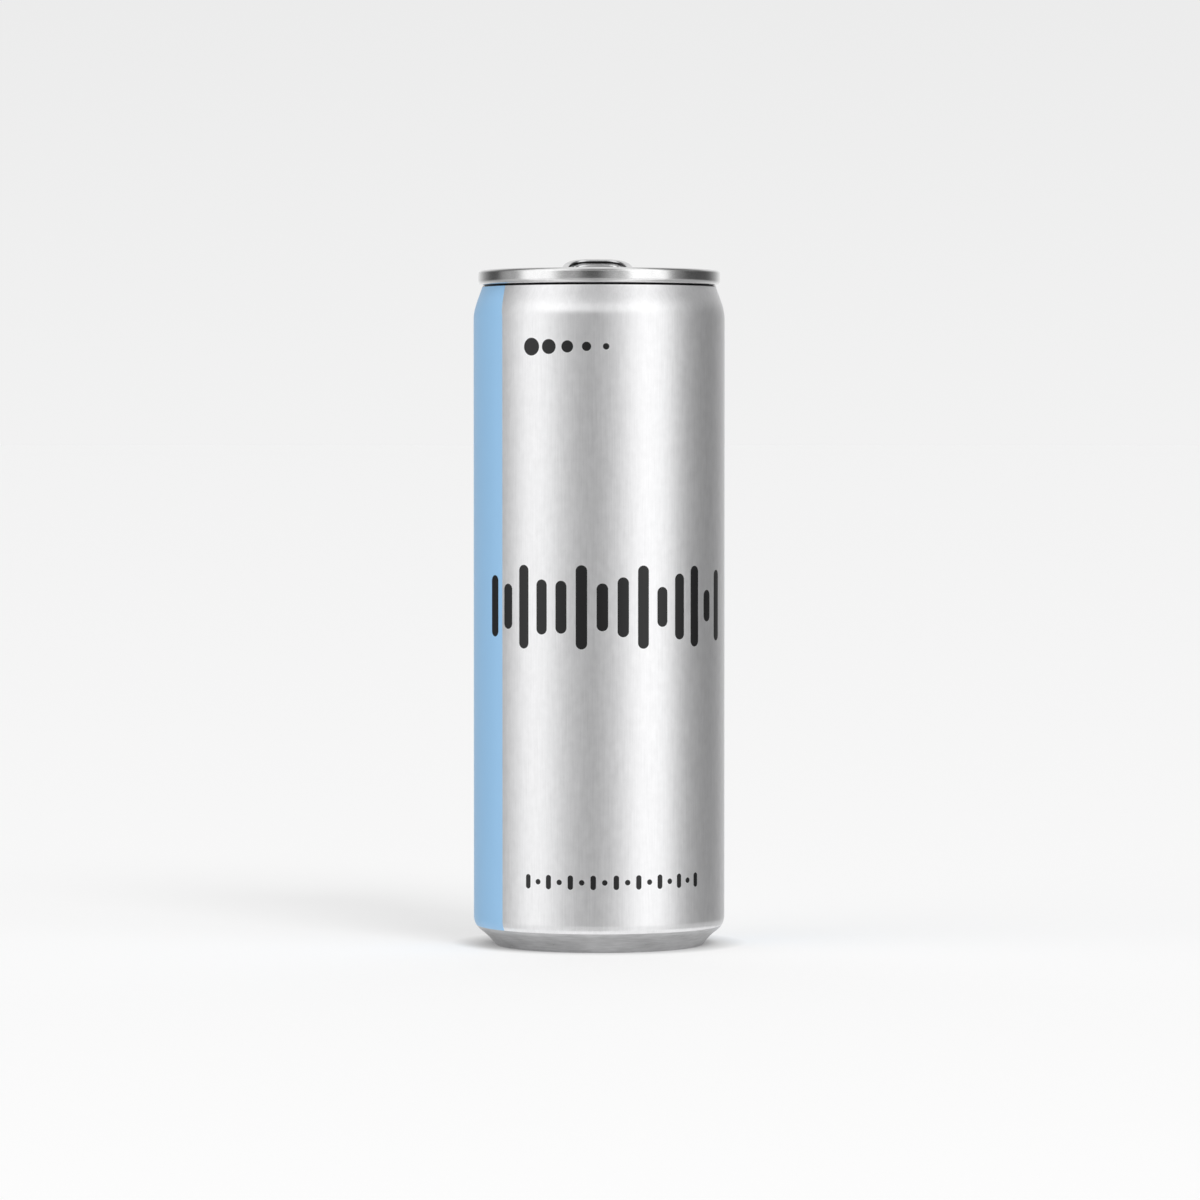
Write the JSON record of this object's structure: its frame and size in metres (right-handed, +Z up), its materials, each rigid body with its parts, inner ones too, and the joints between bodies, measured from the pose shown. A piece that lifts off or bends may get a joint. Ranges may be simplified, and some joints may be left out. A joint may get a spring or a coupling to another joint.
{
  "type": "soda can",
  "caption": "Slim shut drink can with a necked top, seamed lid, riveted ring-pull tab raised slightly, and a domed base with a foot ring.",
  "frame": {"origin": "centre of the foot ring, on the surface that the can stands on", "axes": "+Z up along the can's axis; the front, with the pour opening, towards -Y; the tab's raised finger end towards +Y"},
  "size_m": [0.0574, 0.0574, 0.1573],
  "materials": {
    "printed_aluminium": "satin",
    "lid_aluminium": "satin",
    "tab_aluminium": "polished"
  },
  "bodies": {
    "root": {"can_body": "printed_aluminium", "can_end": "lid_aluminium", "pull_tab": "tab_aluminium"}
  },
  "joints": []
}
